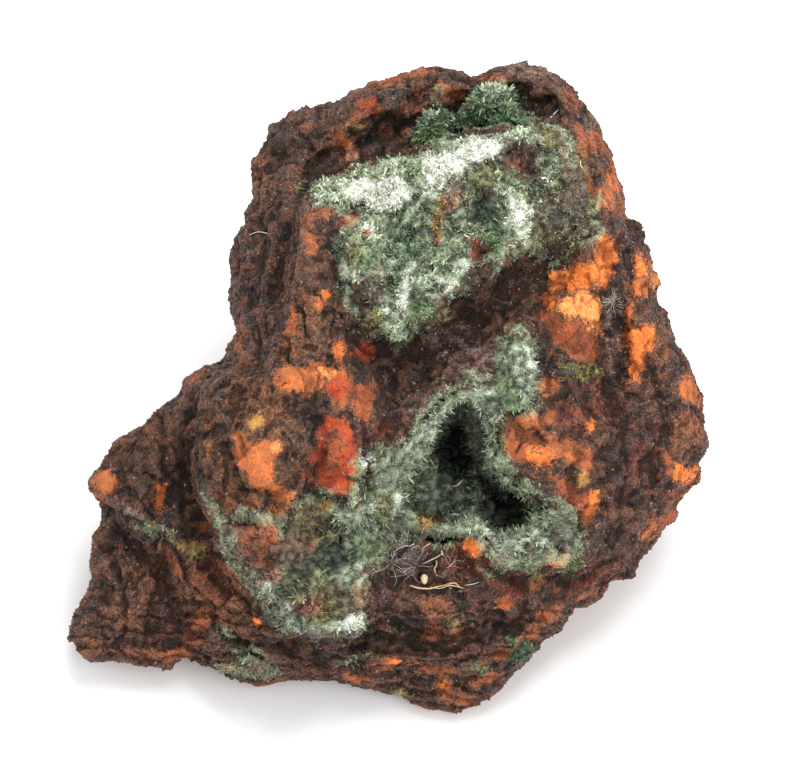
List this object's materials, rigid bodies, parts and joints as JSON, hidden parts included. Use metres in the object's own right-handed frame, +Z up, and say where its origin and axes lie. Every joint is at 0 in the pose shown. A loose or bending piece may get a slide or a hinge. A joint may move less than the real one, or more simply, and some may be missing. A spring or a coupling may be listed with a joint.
{
  "type": "atacamite specimen",
  "caption": "Hand specimen of rusty iron-oxide rock with pale and dark green crystal crusts and an open crystal-lined vug, which rests on a flat base.",
  "frame": {"origin": "centre of the bounding box at the level of the flat base", "axes": "+Z up from the base, +X to the right along the length, with the display face turned towards -Y and +Z and leaning back 32 degrees from level"},
  "size_m": [0.064, 0.059, 0.0443],
  "materials": {
    "gossan": "rough, earthy broken rock",
    "pale_green_crystal": "granular, sparkling",
    "dark_green_crystal": "glassy blades",
    "grey_green_crystal": "granular, silky needles",
    "olive_crystal": "dusty, granular"
  },
  "bodies": {
    "root": {"gossan_matrix": "gossan", "upper_crust": "pale_green_crystal", "rear_cluster": "dark_green_crystal", "vug_crust": "grey_green_crystal", "right_tuft": "olive_crystal", "lower_tuft": "olive_crystal", "edge_tuft": "olive_crystal", "ledge_tuft": "olive_crystal", "base_tuft": "olive_crystal"}
  },
  "joints": []
}
